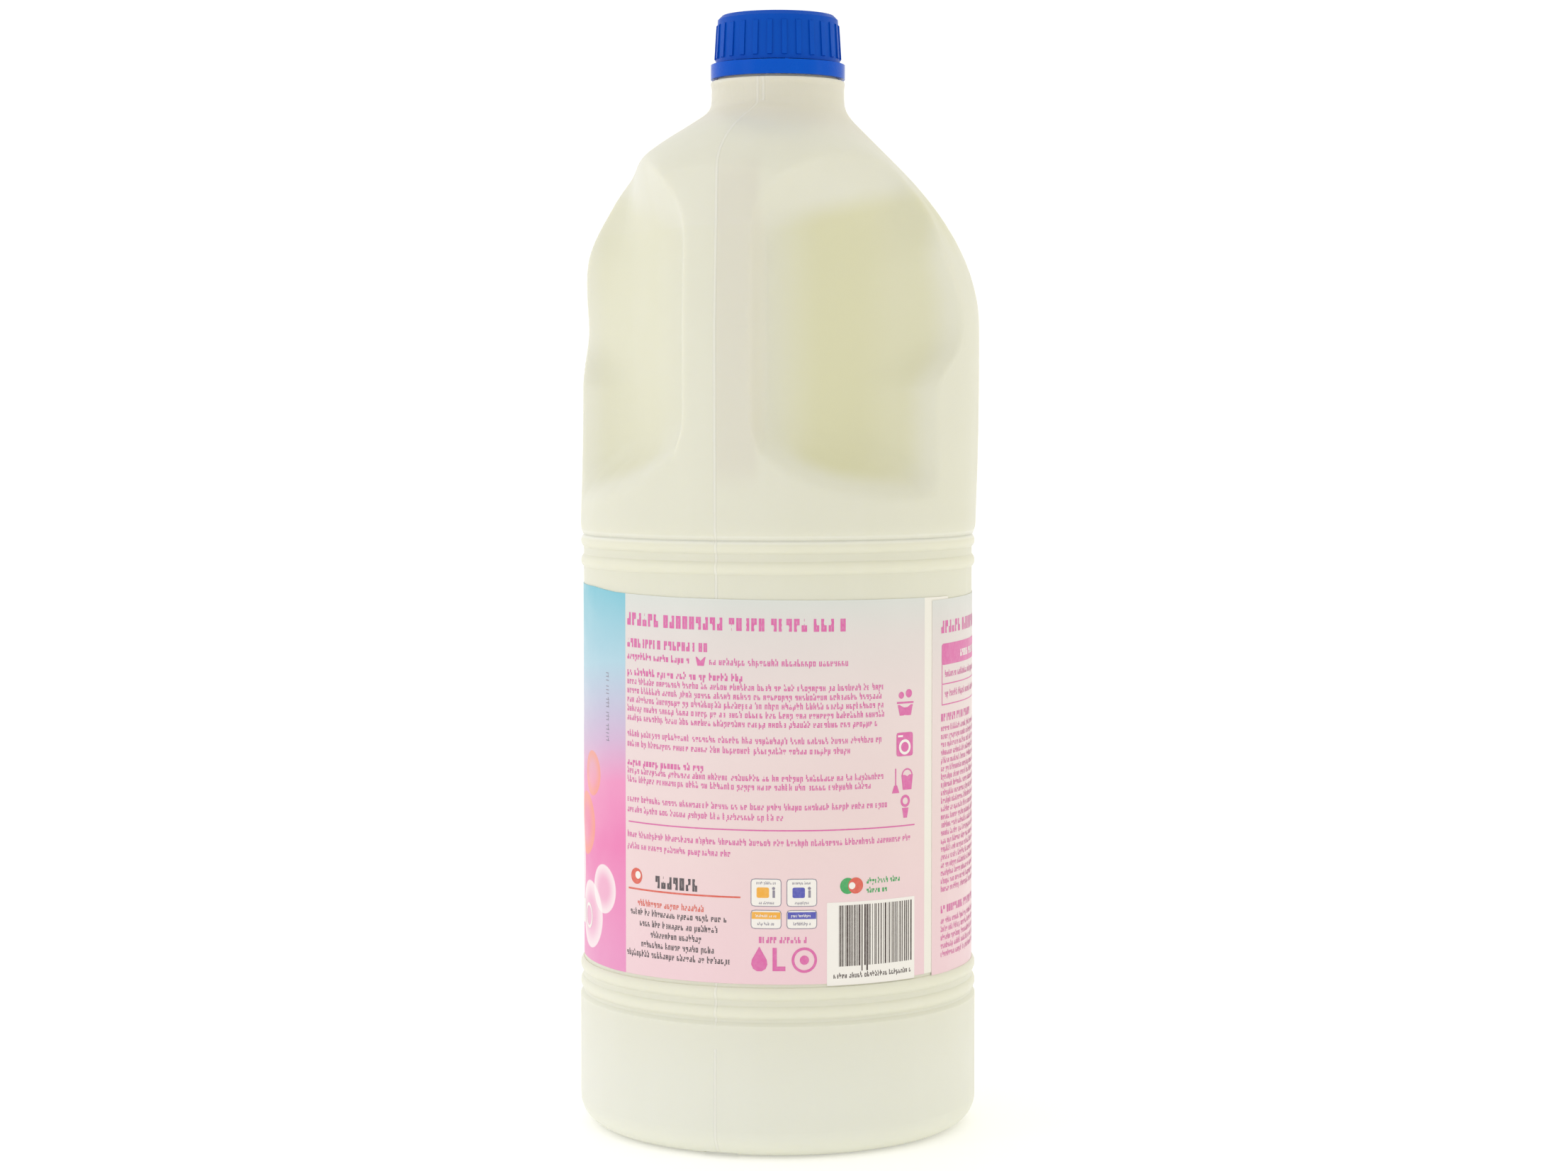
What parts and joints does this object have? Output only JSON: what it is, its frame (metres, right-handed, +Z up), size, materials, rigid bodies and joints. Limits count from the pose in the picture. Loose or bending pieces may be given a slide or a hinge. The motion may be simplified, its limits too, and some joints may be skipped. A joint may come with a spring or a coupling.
{
  "type": "bleach bottle",
  "caption": "Round squeeze-grip liquid bottle with a blue ribbed screw cap, tamper band, wraparound label and its liquid.",
  "frame": {"origin": "centre of the foot ring, on the surface that the bottle stands on, which is the middle of the bounding box's bottom", "axes": "+Z up along the neck's axis; -Y from the axis to the spine between the two hand grips; the mould halves meet at X = 0"},
  "size_m": [0.1074, 0.1078, 0.2986],
  "materials": {
    "bottle_plastic": "satin, milky natural polyethylene",
    "cap_plastic": "satin blue moulded plastic",
    "band_plastic": "glossy blue moulded plastic",
    "liner_foam": "white foamed sealing disc",
    "label_film": "printed film with a soft shine",
    "bleach_liquid": "clear, slightly yellow liquid"
  },
  "bodies": {
    "bottle_body": {"bottle": "bottle_plastic", "tamper_band": "band_plastic", "label": "label_film", "bleach_fill": "bleach_liquid"},
    "liner_body": {"cap_liner": "liner_foam"},
    "cap_body": {"cap": "cap_plastic"}
  },
  "joints": [
    {"name": "cap_lift", "type": "slide", "parent": "bottle_body", "child": "liner_body", "axis": [0, 0, 1], "range_m": [0, 0.006]},
    {"name": "cap_turn", "type": "hinge", "parent": "liner_body", "child": "cap_body", "pos_m": [0, 0, 0.292], "axis": [0, 0, 1], "range_deg": [0, 540]}
  ],
  "couplings": [
    {"joint": "cap_lift", "follows": "cap_turn", "m_per_rad": 0.00063661}
  ]
}
